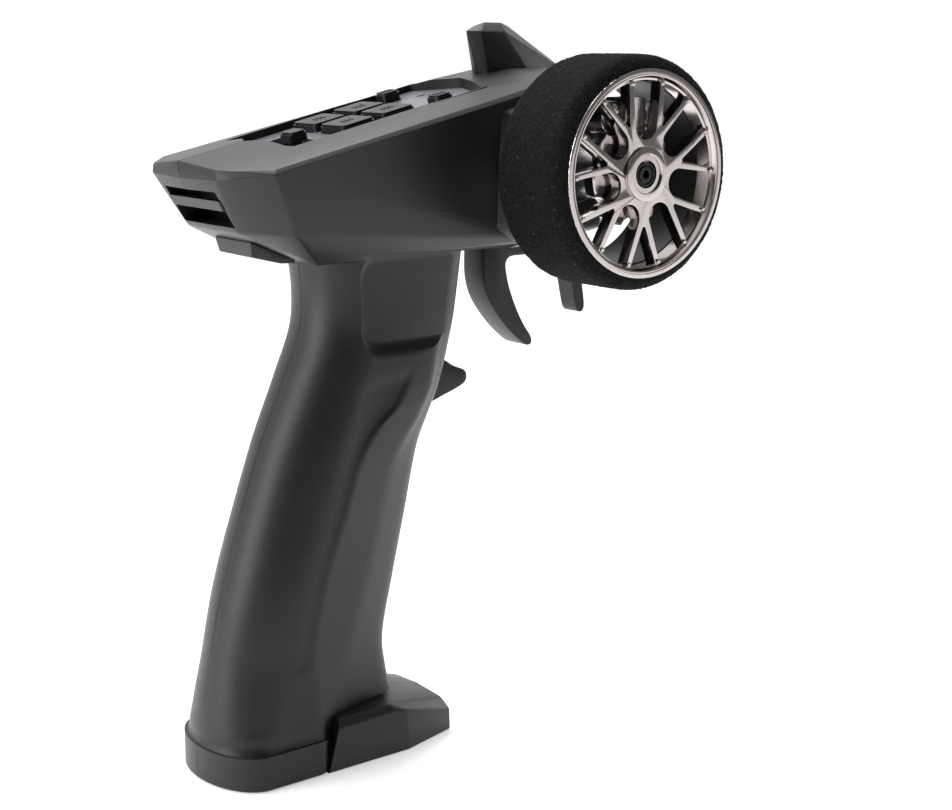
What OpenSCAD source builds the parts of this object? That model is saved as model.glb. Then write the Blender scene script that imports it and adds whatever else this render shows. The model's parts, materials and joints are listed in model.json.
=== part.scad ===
// Pistol-grip radio transmitter for model cars, in millimetres.
// x runs forward, y to the left, z up. The steering wheel is on the right, at negative y.
// Sizes along x are counted from the rear seam of the base; placed() then moves the
// origin to the middle of the base's underside.

/* [Base] */
// Length of the base, from the rear seam to the front of the foot
base_len = 62; // [60:0.5:66]
// Half the width of the base
base_half_w = 15.6; // [15.4:0.1:16.5]
// Height of the upright wall around the rear of the base
flange_h = 8; // [7:0.5:9]

/* [Head] */
// Height of the edge between side wall and cover, projected back to the rear seam
edge_z = 133.1; // [132.6:0.1:133.6]
// Rise of that edge for each millimetre forward
edge_slope = 0.2153; // [0.2:0.0001:0.22]
// Wall of the mouldings
wall = 1.8; // [1.6:0.1:2]

/* [Steering wheel] */
// Place of the wheel's axis along x
wheel_x = 84.4; // [83.5:0.1:85.5]
// Height of the wheel's axis
wheel_z = 133.1; // [132:0.1:134]
// Distance of the wheel's outer face from the mid-plane
wheel_y = 51.3; // [50.8:0.1:53]
// Outer diameter of the rim's lip
rim_d = 44.5; // [43.5:0.5:45]
// Outer diameter of the foam tyre
tyre_d = 50.4; // [49.5:0.1:52]
// Width of the foam tyre
tyre_w = 21.8; // [21:0.1:22.4]
// Number of forked spokes
spokes = 7; // [5:1:8]
// Radius of the steering spindle
spindle_r = 3; // [2.8:0.1:3]

/* [Trigger] */
// Place of the trigger's pin along x
trigger_x = 93; // [92.5:0.1:93.5]
// Height of the trigger's pin
trigger_z = 123; // [122.8:0.1:123.4]
// Radius of the trigger's pin
pin_r = 1.5; // [1.2:0.1:1.6]
// Width of the trigger's blades
blade_w = 8; // [7:0.5:9]

/* [Panel] */
// Slope of the panel in degrees
panel_tilt = 12.9; // [12.5:0.1:13.2]
// Depth of the panel below the rim of its recess
panel_depth = 1.4; // [1.2:0.1:1.6]
// Length of an oblong key along the slope
key_l = 8.7; // [7:0.1:8.8]
// Width of an oblong key
key_w = 9.6; // [8:0.1:9.8]

/* [Batteries] */
// Diameter of a cell
cell_d = 10.3; // [10.2:0.1:10.3]
// Length of a cell
cell_l = 44.5; // [44:0.1:44.6]

/* [Clearances] */
// Gap between parts that move past each other
gap = 0.3; // [0.25:0.05:0.35]
// Radial clearance of a shaft in its bore
run_fit = 0.05; // [0.03:0.01:0.08]

/* [Hidden] */
$fn = 64;

shell_grey = [0.17, 0.17, 0.18];
part_black = [0.06, 0.06, 0.065];
chrome_grey = [0.72, 0.68, 0.68];
steel_grey = [0.6, 0.6, 0.62];
seam = 0.03;
far = 200;

// Lines that shape the grip, as [height, value] pairs joined by smooth curves.
BACK = [[8, 0.1], [10.4, 0.8], [20, 2.4], [43, 7.6], [72, 17.4], [88, 24.4], [98, 28.6], [106, 29.5],
    [116, 28.6]];
FRONT = [[8, 49], [12, 48.2], [18, 46.8], [26, 46], [40, 49], [55, 52.6], [70, 56], [77, 58.6], [84, 61.2],
    [92, 63], [100, 64.8], [116, 67]];
SIDE = [[8, 15.5], [10.4, 14.8], [20, 14.5], [45, 14.8], [70, 14.4], [90, 13.7], [104, 13.3], [116, 13.8]];
ROUND = [[8, 9.5], [14, 12], [30, 16], [70, 16], [104, 12], [116, 12]];
RIDGE_X = [[8, 24], [20, 22.5], [28, 21.5], [44, 25], [60, 31.2], [70, 35], [77, 40], [82, 46], [90, 50],
    [116, 54]];
CREASE_X = [[8, 28], [18, 29.6], [31, 33.9], [42, 38], [57, 42.4], [66, 44.9], [72, 48.1], [78, 52.6], [86, 56],
    [116, 59]];
CREASE_Y = [[8, 12.6], [40, 12], [66, 11.9], [78, 12.4], [86, 13.2], [116, 13.5]];
NOSE_Y = [[8, 7.5], [70, 7.5], [84, 8.6], [92, 9.6], [116, 10.2]];
GRIP_HIGH = 115.7;
ARC_STEPS = 8;

// Head: points of the parting line with the cover, then of the lower edges, one side only.
function edge(x) = edge_z + edge_slope * x;
PARTING = [
    [0.4, 0, edge(0.4)], [1.4, 13.6, edge(1.4)], [3.2, 17, edge(3.2)], [8.6, 24.3, edge(8.6)],
    [66, 22.1, edge(66)], [84, 21.6, edge(84)], [100, 16, 150.4], [107, 9, 147], [109, 0, 146]
];
LOWER = [
    [7.6, 0, 122], [7.8, 10.4, 122], [9.4, 13.3, 122], [15, 22, 122], [57, 20.9, 122], [68, 20.7, 119],
    [84, 20.2, 117], [98, 14, 118], [105, 7, 122], [107, 0, 124]
];
BELLY = [[17, 13, 117.8], [24.5, 15.5, 114.6], [60, 15.5, 114.6], [82, 15, 114.6], [95, 9, 115.4],
    [99, 0, 116]];

// Screws that join the two shells: [x, z].
SHELL_SCREWS = [[22, 126], [70, 122], [103, 136], [46, 101], [34, 63], [39.4, 31], [8, 13]];
screw_r = 1.2;
screw_head_r = 2.2;
screw_seat_y = 7;
screw_tip_y = -6.6;
boss_r = 3.6;

// Panel frame: origin on the rim of the recess, local x up the slope.
panel_x = 18.7;
panel_z = 139.1;
rim_half_w = 13.6;
key_rows = [20.4, 31.2];
key_y = 5.5;
button_u = 42.6;
button_y = 10;
switch_u = 8.6;
knob_y = -2;
led_at = [48.6, 5];
board_low = -8.1;
board_t = 1.6;
board_corners = [[3, 17], [47, 17], [3, -17], [47, -17]];

// Wheel.
rim_r = rim_d / 2;
barrel_r = rim_r - 1;
tyre_r = tyre_d / 2;
window_r = barrel_r - 1.5;
lip_depth = 5;
spoke_z = -3.8;
drum_z = 0.6 - tyre_w;
bush_r = 5;
adaptor_r = 11.4;
pot_r = 7;

// Trigger.
hub_r = 4;
hub_half_w = 5.5;

// Batteries.
cell_spots = [[19.9, 5.4], [30.5, 5.4], [19.9, -5.4], [30.5, -5.4]];
cell_z = 4;

// ---------- shared shapes ----------

module placed() translate([-base_len / 2, 0, 0]) children();

// The smallest solid around points given for one side, and their mirror images.
module wrap(points) {
    both = [for (p = points, side = (p.y == 0 ? [1] : [-1, 1])) [p.x, side * p.y, p.z]];
    hull() polyhedron(points = both, faces = [[for (i = [0:len(both) - 1]) i]]);
}

// Smooth curve through [height, value] pairs.
function piece_at(z, t, i = 0) = (i >= len(t) - 2 || z < t[i + 1][0]) ? i : piece_at(z, t, i + 1);
function rise(t, i) =
    let(a = max(i - 1, 0), b = min(i + 1, len(t) - 1))
    (t[b][1] - t[a][1]) / (t[b][0] - t[a][0]);
function curve(z, t) =
    let(
        i = piece_at(z, t),
        h = t[i + 1][0] - t[i][0],
        u = (z - t[i][0]) / h,
        from = t[i][1],
        to = t[i + 1][1]
    )
    from + (to - from) * (3 - 2 * u) * u * u
        + h * u * (1 - u) * ((1 - u) * rise(t, i) - u * rise(t, i + 1));

// Half of the grip's outline at height z, from the back seam to the front, moved in by inset.
function half_ring(z, inset) =
    let(
        back = curve(z, BACK) + inset,
        front = curve(z, FRONT) - inset,
        w = curve(z, SIDE) - inset,
        ridge = min(curve(z, RIDGE_X), front - 9),
        a = min(curve(z, ROUND), ridge - back - 1.6),
        crease = min(curve(z, CREASE_X), front - 5),
        crease_w = min(curve(z, CREASE_Y) - inset, w - 0.15),
        nose = curve(z, NOSE_Y) - inset,
        corner = [[front - 3.2, nose + 1.4], [front, nose + 0.2], [front, nose - 3.4]]
    )
    concat(
        [for (i = [0:ARC_STEPS]) let(t = 90 * i / ARC_STEPS) [back + a * (1 - cos(t)), w * sin(t)]],
        [[(back + a + ridge) / 2, w + 0.02], [ridge, w], [crease, crease_w]],
        [for (i = [0:4]) let(u = i / 4)
            corner[0] * (1 - u) * (1 - u) + corner[1] * 2 * u * (1 - u) + corner[2] * u * u],
        [[front, 0]]
    );
function full_ring(z, inset) =
    let(half = half_ring(z, inset), n = len(half))
    concat(
        [for (p = half) [p.x, -p.y, z]],
        [for (i = [n - 2:-1:1]) [half[i].x, half[i].y, z]]
    );

// Solid through a list of rings that all have the same number of points.
module loft(rings) {
    n = len(rings[0]);
    m = len(rings);
    polyhedron(
        points = [for (ring = rings) each ring],
        faces = concat(
            [[for (j = [0:n - 1]) j]],
            [for (i = [0:m - 2], j = [0:n - 1]) let(k = (j + 1) % n) [i * n + k, i * n + j, (i + 1) * n + j]],
            [for (i = [0:m - 2], j = [0:n - 1])
                let(k = (j + 1) % n) [i * n + k, (i + 1) * n + j, (i + 1) * n + k]],
            [[for (j = [n - 1:-1:0]) (m - 1) * n + j]]
        )
    );
}

// The grip, with an upright wall from the given floor to flange_h and a set-back above it.
module grip_loft(floor_z, high, rings, inset) {
    wall_ring = [for (p = full_ring(flange_h, inset)) [p.x, p.y, floor_z]];
    steps = concat([flange_h, 8.9, 10.4], [for (i = [0:rings - 1]) 13 + (high - 13) * i / (rings - 1)]);
    loft(concat([wall_ring], [for (z = steps) full_ring(z, inset)]));
}

// A round bar along y between two places.
module bar_y(x, z, y_from, y_to, r)
    translate([x, y_to, z]) rotate([90, 0, 0]) cylinder(r = r, h = y_to - y_from);

// A flat shape drawn in x and z, and given a width along y.
module slab_y(points, y_from, y_to)
    translate([0, y_to, 0]) rotate([90, 0, 0]) linear_extrude(y_to - y_from) polygon(points);

module box_between(low, high) translate(low) cube(high - low);

// Local frames.
module on_panel() translate([panel_x, 0, panel_z]) rotate([0, -panel_tilt, 0]) children();
module on_wheel() translate([wheel_x, -wheel_y, wheel_z]) rotate([90, 0, 0]) children();

module rounded_plate(l, w, t, r)
    for (part = [[l, w - 2 * r], [l - 2 * r, w]])
        translate([-part.x / 2, -part.y / 2, 0]) cube([part.x, part.y, t]);

module rounded_block(l, w, t, r) {
    rounded_plate(l, w, t, r);
    for (sx = [-1, 1], sy = [-1, 1])
        translate([sx * (l / 2 - r), sy * (w / 2 - r), 0]) cylinder(r = r, h = t);
}

// A coil spring of round wire along z.
module coil(mean_r, wire_r, height, turns) {
    sides = 8;
    steps = 14 * turns;
    loft([for (i = [0:steps]) let(t = 360 * turns * i / steps)
        [for (j = [0:sides - 1]) let(s = 360 * j / sides, r = mean_r + wire_r * cos(s))
            [r * cos(t), r * sin(t), wire_r + (height - 2 * wire_r) * i / steps + wire_r * sin(s)]]]);
}

// ---------- mouldings ----------

// The door's rear edge leans forward as it goes up, and its top passes under the grip.
module door_side(shift) slab_y([
    [24.4 + shift, -1], [28 + shift, 12.15 - shift], [far, 12.15 - shift], [far, -1]
], -far, far);

module foot_block() wrap([
    [20, base_half_w, 0], [47, base_half_w, 0], [base_len, 11.6, 0],
    [20, base_half_w, 8], [24, base_half_w, 10], [42.9, base_half_w, 10.6], [46.4, 15.4, 9.9],
    [base_len, 11.4, 5.2], [24, 14.3, 12.4], [42, 14.3, 12.4], [base_len - 1, 9, 7.8],
    [base_len - 1.4, 0, 8.6], [45, 0, 12.4]
]);

module head_outer() wrap(concat(PARTING, LOWER, BELLY));

// Everything below the surface where the cover sits on the shells.
module under_cover() slab_y([
    [-5, 100], [-5, edge(-5) + seam], [84, edge(84) + seam], [100, 150.4 + seam], [107, 147 + seam],
    [109, 146 + seam], [125, 138], [125, 100]
], -60, 60);

// Boss on the right side that carries the wheel, with slanted shoulders.
module wheel_boss() hull() {
    slab_y([[66.5, 146.4], [67, 120], [73, 116.8], [97, 117.5], [101, 130], [99, 149], [84, 150.4]], -12, -11);
    slab_y([[66.5, 146.4], [67, 120], [73, 116.8], [96, 117.5], [98, 130], [97, 147], [84, 150.4]], -20, -19);
    slab_y([[70.6, 144.6], [70.2, 121], [75, 118], [95, 119], [98, 131], [96, 146], [84, 148.6]], -25.2, -25);
}

// Open at the top, where the cover closes it.
module head_inner() wrap([
    [3.4, 0, 140], [4.4, 12.6, 140], [11, 21.8, 142], [66, 19.9, 154], [84, 19.4, 158], [98, 13.6, 158],
    [105.2, 6.4, 154], [106.6, 0, 152], [14, 0, 121], [17, 19.5, 122.6], [57, 18.8, 122.6], [84, 18.2, 118.6],
    [96, 12, 119.6], [104.4, 0, 124.6], [26, 14, 116.8], [82, 13.5, 116.8], [95, 0, 117.4]
]);

// Flat-floored recess for a finger on each side of the grip.
module finger_recess(side)
    translate([47.4, side * 16.2, 103.6]) rotate([90, 0, 0])
        translate([0, 0, side < 0 ? -4 : 0]) rounded_block(21.4, 17, 4, 4);

module outer_form() {
    head_outer();
    wheel_boss();
    bar_y(wheel_x, wheel_z, -26.6, -24, 14);
    bar_y(wheel_x, wheel_z, -27.8, -26, 10.6);
    bar_y(wheel_x, wheel_z, -29, -27, 7.6);
    grip_loft(0, GRIP_HIGH, 20, 0);
}

module inner_form() {
    head_inner();
    grip_loft(wall, GRIP_HIGH + 3, 9, wall);
}

// Bosses, bridges and seats left standing inside the shells.
module inner_ribs() {
    for (p = SHELL_SCREWS) bar_y(p.x, p.y, -far, far, boss_r);
    bar_y(wheel_x, wheel_z, -far, -15.6, bush_r + 3);
    bar_y(trigger_x, trigger_z, -far, -9.4, hub_r);
    bar_y(trigger_x, trigger_z, 12.6, far, hub_r);
    box_between([0, -12.3, 120], [15.5, 12.3, 132.6]);
}

// Rear pocket that a strap passes through, around its bar.
module strap_pocket() slab_y([[-6, 130.8], [10.2, 130.8], [14, 123.2], [-6, 123.2]], -10.6, 10.6);

module trigger_slot() slab_y([
    [73, 100], [73, 120.4], [98, 120.4], [100, 119.6], [112, 119.6], [112, 100]
], -6.3, 6.3);

module button_slot() slab_y([[50, 77.8], [70, 77.8], [70, 90.3], [50, 90.3]], -4.7, 4.7);

// Room for the cells, which reach a little into the walls around them.
module cell_seats()
    for (p = cell_spots) translate([p.x, p.y, cell_z - 0.3]) cylinder(d = cell_d + 0.3, h = cell_l + 0.6);

module shell_form() difference() {
    outer_form();
    difference() {
        inner_form();
        inner_ribs();
    }
    strap_pocket();
    trigger_slot();
    button_slot();
    for (side = [-1, 1]) finger_recess(side);
    door_side(-0.15);
    box_between([11.8, -12.9, -1], [40, 12.9, 2.3]);
    cell_seats();
    for (p = SHELL_SCREWS) bar_y(p.x, p.y, screw_tip_y - 0.4, 0.01, screw_r);
    for (p = SHELL_SCREWS) bar_y(p.x, p.y, 0, screw_seat_y + 0.01, screw_r + 0.15);
    for (p = SHELL_SCREWS) bar_y(p.x, p.y, screw_seat_y, far, screw_head_r + 0.3);
    bar_y(trigger_x, trigger_z, -14, 16, pin_r);
    bar_y(wheel_x, wheel_z, -far, -15, bush_r);
}

module right_shell() placed() color(shell_grey) intersection() {
    shell_form();
    box_between([-far, -far, -1], [far, -seam, far]);
}

module left_shell() placed() color(shell_grey) intersection() {
    shell_form();
    box_between([-far, seam, -1], [far, far, far]);
}

// Top cover: bevelled edges, a panel recess with a notch at each end, and the aerial fin.
FIN_TOP = [
    [75.3, 0, 163], [77.6, 0, 164.2], [80.8, 0, 165.1], [85.6, 0, 165], [87.7, 0, 164.2],
    [77.6, 2.8, 162.9], [83.8, 2.8, 162.8], [84.8, 2.6, 163]
];

module fin()
    wrap(concat(FIN_TOP, [[78.4, 0, 153.6], [79.6, 3, 153.2], [91.6, 4.4, 152.6], [104.6, 0, 154.4]]));

module cover_outer() wrap(concat(
    PARTING,
    [
        [0, 0, 136.7], [1.5, 13.3, 135.5], [3.4, 16.6, 135.3], [9.2, 23.4, 136], [66, 21.1, 148.4],
        [84, 20.6, 152.2], [99.4, 15.2, 151.6], [106.4, 8, 148.4], [108.4, 0, 147.4],
        [10, 13.6, 137.1], [panel_x, 13.9, panel_z], [70, 13.7, 150.8], [73, 8, 152.4], [84, 6, 154.6],
        [97, 4, 154.6], [103, 0, 153.4]
    ]
));

module cover_inner() wrap([
    [3, 0, 132], [5, 12.6, 132], [11, 21.4, 133], [66, 19.6, 144], [84, 19.2, 149], [98, 13.4, 148],
    [105, 6, 144], [106, 0, 143], [11, 20.6, 134.2], [66, 19, 146], [84, 18.6, 150], [97, 13, 149.4],
    [5, 0, 134.4], [panel_x, 13, 136.6], [70, 12.6, 148.2], [84, 5, 152], [97, 3, 151.6]
]);

module recess_outline(inset) polygon([
    [0.4 + inset, 13.6 - inset], [0.4 + inset, 5.6], [-2.4 + inset, 0], [0.4 + inset, -5.6],
    [0.4 + inset, inset - 13.6], [51.8 - inset, inset - 13.6], [56.6 - inset, 0], [51.8 - inset, 13.6 - inset]
]);

module top_cover() placed() color(shell_grey) difference() {
    union() {
        difference() {
            cover_outer();
            cover_inner();
            under_cover();
        }
        fin();
        on_panel() intersection() {
            translate([0, 0, -5]) linear_extrude(5.2) polygon([[-4, 17], [-4, -17], [58, -17], [60, 0], [58, 17]]);
            translate([0, 0, -4.4]) linear_extrude(4.6) polygon([[-5, 15.6], [-5, -15.6], [60, -15.6], [60, 15.6]]);
        }
        on_panel() for (p = board_corners)
            translate([p.x, p.y, board_low + board_t]) cylinder(r = 2.2, h = 5.4);
    }
    on_panel() {
        translate([0, 0, -panel_depth - 1.6]) linear_extrude(far) recess_outline(0);
        translate([0, 0, -6]) linear_extrude(6) recess_outline(0.9);
        for (p = board_corners)
            translate([p.x, p.y, board_low + board_t - 1]) cylinder(r = 0.9, h = 5);
    }
    box_between([80.4, -0.8, 140], [86, 0.8, 160]);
}

// ---------- panel and keys, drawn in the panel frame ----------

KEY_SPOTS = [[key_rows[0], key_y], [key_rows[0], -key_y], [key_rows[1], key_y], [key_rows[1], -key_y]];
BUTTON_SPOTS = [[button_u, button_y], [button_u, -button_y]];

module control_panel() placed() color([0.62, 0.63, 0.68]) on_panel() difference() {
    translate([0, 0, -panel_depth - 1.5]) linear_extrude(1.5) recess_outline(0.15);
    for (p = KEY_SPOTS)
        translate([p.x, p.y, -4]) rounded_block(key_l + 2 * gap, key_w + 2 * gap, 5, 1.2);
    for (p = BUTTON_SPOTS)
        translate([p.x, p.y, -4]) rounded_block(4.6 + 2 * gap, 4.6 + 2 * gap, 5, 1.2);
    translate([switch_u, 0, -4]) rounded_block(5.4, 14, 5, 0.8);
    translate([led_at.x, led_at.y, -4]) rounded_block(2.8, 1.6, 5, 0.5);
}

// A key with a flange that holds it under the panel and three raised ticks on top.
module key_form(l, w, top) {
    translate([0, 0, -4.4]) rounded_block(l, w, 4.4 + top - 0.5, 1.1);
    translate([0, 0, top - 0.5]) rounded_block(l - 0.6, w - 0.6, 0.5, 0.9);
    translate([0, 0, -4.4]) rounded_block(l + 1.6, w, 1, 1);
    for (tick = [-1, 0, 1])
        translate([tick * 1.1 - 0.15, -0.9, top]) cube([0.3, 1.8, 0.15]);
}

module oblong_key(i) placed() color(part_black) on_panel()
    translate([KEY_SPOTS[i].x, KEY_SPOTS[i].y, 0]) key_form(key_l, key_w, 0.4);

module steering_trim_minus() oblong_key(0);
module steering_trim_plus() oblong_key(1);
module throttle_trim_minus() oblong_key(2);
module throttle_trim_plus() oblong_key(3);

module channel_button(i) placed() color(part_black) on_panel()
    translate([BUTTON_SPOTS[i].x, BUTTON_SPOTS[i].y, 0]) key_form(4.6, 4.6, 0.9);

module channel_button_left() channel_button(0);
module channel_button_right() channel_button(1);

module power_knob() placed() color([0.04, 0.04, 0.06]) on_panel() translate([switch_u, knob_y, 0]) {
    translate([0, 0, -4.9]) rounded_block(2.2, 3, 4.4, 0.6);
    translate([0, 0, -1.2]) rounded_block(4.4, 4.6, 1.8, 0.7);
    translate([0, 0, 0.6]) rounded_block(3.4, 4.6, 0.5, 0.5);
}

module power_switch() placed() color(steel_grey) on_panel() difference() {
    translate([switch_u, 0, board_low + board_t]) rounded_block(6, 16, 3.2, 0.4);
    translate([switch_u, 0, -5.1]) rounded_block(2.8, 9, 4, 0.4);
}

module led_lens() placed() color([0.85, 0.3, 0.25]) on_panel() {
    translate([led_at.x, led_at.y, board_low + board_t]) rounded_block(2.4, 1.2, 5, 0.4);
}

module key_mat() placed() color([0.25, 0.25, 0.27]) on_panel() difference() {
    union() {
        translate([31, 0, board_low + board_t]) rounded_block(32, 27, 0.8, 1);
        for (p = concat(KEY_SPOTS, BUTTON_SPOTS))
            translate([p.x, p.y, board_low + board_t]) cylinder(r = 1.6, h = 1.3);
    }
    translate([led_at.x, led_at.y, -far / 2]) cylinder(r = 2.6, h = far);
}

module main_board() placed() color([0.08, 0.3, 0.18]) on_panel() difference() {
    translate([25, 0, board_low]) rounded_block(50, 38, board_t, 1);
    for (p = board_corners)
        translate([p.x, p.y, board_low - 1]) cylinder(r = 1, h = 5);
}

module board_screws() placed() color(steel_grey) on_panel() for (p = board_corners) {
    translate([p.x, p.y, board_low - 1.2]) cylinder(r = 1.7, h = 1.2);
    translate([p.x, p.y, board_low - 0.2]) cylinder(r = 0.85, h = 4.6);
}

module aerial_strip() placed() color([0.75, 0.55, 0.2]) box_between([81, -0.5, 146], [85.4, 0.5, 159.4]);

// ---------- rear fittings ----------

module strap_bar() placed() color(shell_grey) slab_y([
    [3.4, 128.9], [6.2, 128.9], [7.2, 126.8], [4.5, 126.8]
], -10.6, 10.6);

module rear_block() placed() color(shell_grey) difference() {
    wrap([
        [12.6, 7.4, 119.2], [13.2, 6.8, 116.4], [20, 7.4, 114.6], [23.5, 7.4, 114.4], [23.5, 7.4, 121],
        [12.8, 7.4, 121]
    ]);
    head_outer();
}

// ---------- steering wheel, drawn in the wheel frame with z outward ----------

// Windows in the wheel's face: a long one inside each fork and a short one between two forks.
module window_long()
    union() {
        translate([10.3, 0]) circle(r = 3.1);
        polygon([[10.3, 3.1], [10.3, -3.1], [24, -4.4], [24, 4.4]]);
    }

module window_short()
    union() {
        translate([11.7, 0]) circle(r = 0.5);
        polygon([[11.6, 0.5], [11.6, -0.5], [22, -4.75], [22, 4.75]]);
    }

module spider_outline() difference() {
    circle(r = window_r + 0.4);
    for (i = [0:spokes - 1]) {
        rotate(90 + 360 * i / spokes) window_long();
        rotate(90 + 360 * (i + 0.5) / spokes) window_short();
    }
    circle(r = spindle_r);
}

module wheel_rim() placed() color(chrome_grey) on_wheel() {
    rotate_extrude() polygon([
        [window_r, -lip_depth], [barrel_r, -lip_depth], [barrel_r, -1.8], [rim_r, -1.8], [rim_r, -0.4],
        [rim_r - 0.4, 0], [rim_r - 1, 0], [rim_r - 1.2, -0.35], [rim_r - 1.4, 0], [rim_r - 1.7, -0.1],
        [rim_r - 2.1, -1], [window_r, -1.2]
    ]);
    translate([0, 0, spoke_z]) linear_extrude(-0.8 - spoke_z) spider_outline();
    difference() {
        translate([0, 0, spoke_z]) cylinder(r = 5.75, h = -spoke_z);
        translate([0, 0, spoke_z - 1]) cylinder(r = spindle_r, h = 6);
        translate([0, 0, -0.5]) cylinder(r = 4.1, h = 1);
    }
    for (i = [0:spokes - 1], s = [-1, 1])
        rotate(90 + 360 * i / spokes + s * 12.8) translate([window_r - 0.3, 0, -1]) cylinder(r = 0.5, h = 0.6);
}

// Dark drum inside the tyre, behind the plated lip.
module wheel_drum() placed() color(part_black) on_wheel() rotate_extrude() polygon([
    [window_r - 0.2, drum_z], [barrel_r, drum_z], [barrel_r, -lip_depth], [window_r - 0.2, -lip_depth]
]);

module foam_tyre() placed() color([0.045, 0.045, 0.05]) on_wheel() rotate_extrude() {
    shoulder = tyre_r - barrel_r - 0.3;
    difference() {
        union() {
            translate([barrel_r, -tyre_w]) square([0.3, tyre_w]);
            translate([barrel_r, shoulder - tyre_w]) square([tyre_r - barrel_r, tyre_w - 2 * shoulder]);
            for (z = [shoulder - tyre_w, -shoulder])
                translate([tyre_r - shoulder, z]) circle(r = shoulder);
        }
        translate([barrel_r - 9, -tyre_w - 1]) square([9, tyre_w + 3]);
        translate([barrel_r - 2, -1.8]) square([rim_r - barrel_r + 2, 4]);
    }
}

module wheel_adaptor() placed() color(chrome_grey) on_wheel() difference() {
    union() {
        translate([0, 0, spoke_z - 4]) cylinder(r = adaptor_r, h = 3);
        translate([0, 0, -21.4]) cylinder(r = 6.4, h = 21.4 + spoke_z);
    }
    for (i = [0:spokes - 1])
        rotate(90 + 360 * (i + 0.5) / spokes) translate([adaptor_r + 1.4, 0, -9]) cylinder(r = 3.4, h = 6);
    translate([0, 0, -25]) cylinder(r = spindle_r, h = 23);
}

module caliper_block() placed() color(chrome_grey) on_wheel() difference() {
    union() {
        translate([0, 12.2, -11]) rounded_block(5.4, 7.6, 7, 1);
        for (side = [-1, 1])
            translate([side * 5.4, 11.6, -11]) cylinder(r = 3.2, h = 5.4);
        translate([0, 9, -11]) rounded_block(11, 5, 3.1, 1);
    }
    for (side = [-1, 1])
        translate([side * 6.2, 11.8, -6.6]) cylinder(r = 1.2, h = 3);
    translate([0, 0, -12]) cylinder(r = adaptor_r - 4.4, h = 9);
    translate([0, 0, spoke_z - 4.05]) cylinder(r = adaptor_r + 0.05, h = 3.1);
}

module wheel_screw() placed() color(part_black) on_wheel() difference() {
    union() {
        translate([0, 0, -2.4]) cylinder(r = 2.6, h = 1.8);
        translate([0, 0, -14]) cylinder(r = 1.25, h = 12);
    }
    translate([0, 0, -1]) difference() {
        cylinder(r = 2.2, h = 1);
        cylinder(r = 1.8, h = 1);
    }
    translate([0, 0, -1.8]) cylinder(r = 1, h = 2, $fn = 6);
}

module steering_spindle() placed() color(steel_grey) difference() {
    union() {
        bar_y(wheel_x, wheel_z, -wheel_y + 2.8, 8, spindle_r);
        bar_y(wheel_x, wheel_z, 7, 14, pin_r);
        bar_y(wheel_x, wheel_z, -7.4, -4.4, 6);
    }
    bar_y(wheel_x, wheel_z, -far, -wheel_y + 15, 1.25);
}

module spindle_bush() placed() color([0.7, 0.55, 0.3]) difference() {
    bar_y(wheel_x, wheel_z, -29.4, -15.6, bush_r);
    bar_y(wheel_x, wheel_z, -32, -10, spindle_r + run_fit);
}

module centring_spring() placed() color(steel_grey)
    translate([wheel_x, -7.9, wheel_z]) rotate([90, 0, 0]) coil(4.5, 0.45, 6.8, 5);

module steering_pot() placed() color([0.1, 0.2, 0.35]) difference() {
    union() {
        bar_y(wheel_x, wheel_z, 8.6, 15, pot_r);
        box_between([wheel_x - 6, 12, wheel_z - 6], [wheel_x + 4.6, 15.4, wheel_z + 6]);
    }
    bar_y(wheel_x, wheel_z, 8, 14.4, pin_r + run_fit);
}

// ---------- trigger ----------

// A hooked rear blade, a bridge that ends inside the head, and a short front prong.
module trigger() placed() color(part_black) difference() {
    union() {
        slab_y([
            [77.8, 117], [77.6, 106.4], [79, 101.6], [81.4, 97.9], [85.3, 93.4], [89.4, 89.9], [91.4, 88.7],
            [92.8, 89.1], [92.7, 90.9], [90.2, 94], [87.6, 98.6], [85.2, 104.4], [84, 110.9], [104.4, 110.9],
            [105.6, 106], [107, 99.6], [107.8, 96.2], [109, 95], [110.4, 95.6], [110.6, 97.4], [109.4, 104],
            [108, 112], [106.6, 116], [97, 118.4], [89, 118.4]
        ], -blade_w / 2, blade_w / 2);
        bar_y(trigger_x, trigger_z, -hub_half_w, hub_half_w, hub_r);
        slab_y([[89, 117], [97, 117], [96.4, 122], [89.6, 122]], -blade_w / 2, blade_w / 2);
    }
    bar_y(trigger_x, trigger_z, -20, 20, pin_r + run_fit);
    for (side = [-1, 1])
        box_between([102, side * 4.6 - 2, 94], [112, side * 4.6 + 2, 108]);
}

module trigger_pin() placed() color(steel_grey) bar_y(trigger_x, trigger_z, -14, 16, pin_r);

module trigger_spring() placed() color(steel_grey)
    translate([trigger_x, -5.9, trigger_z]) rotate([90, 0, 0]) coil(2.6, 0.35, 3.2, 3);

module throttle_pot() placed() color([0.1, 0.2, 0.35]) difference() {
    bar_y(trigger_x, trigger_z, 6.2, 12.2, 3.1);
    bar_y(trigger_x, trigger_z, 5, 14, pin_r + run_fit);
}

// ---------- grip fittings ----------

module grip_button() placed() color(part_black) {
    slab_y([
        [57.4, 79], [57.4, 89], [64, 89.2], [66.8, 87.9], [68.8, 86.4], [72.2, 85.2], [72.9, 84], [72.5, 82],
        [69.4, 80.7], [65.6, 79.6], [62, 78.3]
    ], -4.2, 4.2);
}

module grip_switch() placed() color([0.12, 0.12, 0.13]) {
    box_between([44, -3.2, 79], [53.6, 3.2, 88.6]);
    translate([53.5, 0, 84]) rotate([0, 90, 0]) cylinder(r = 1.2, h = 1.6);
}

// ---------- batteries ----------

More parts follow.
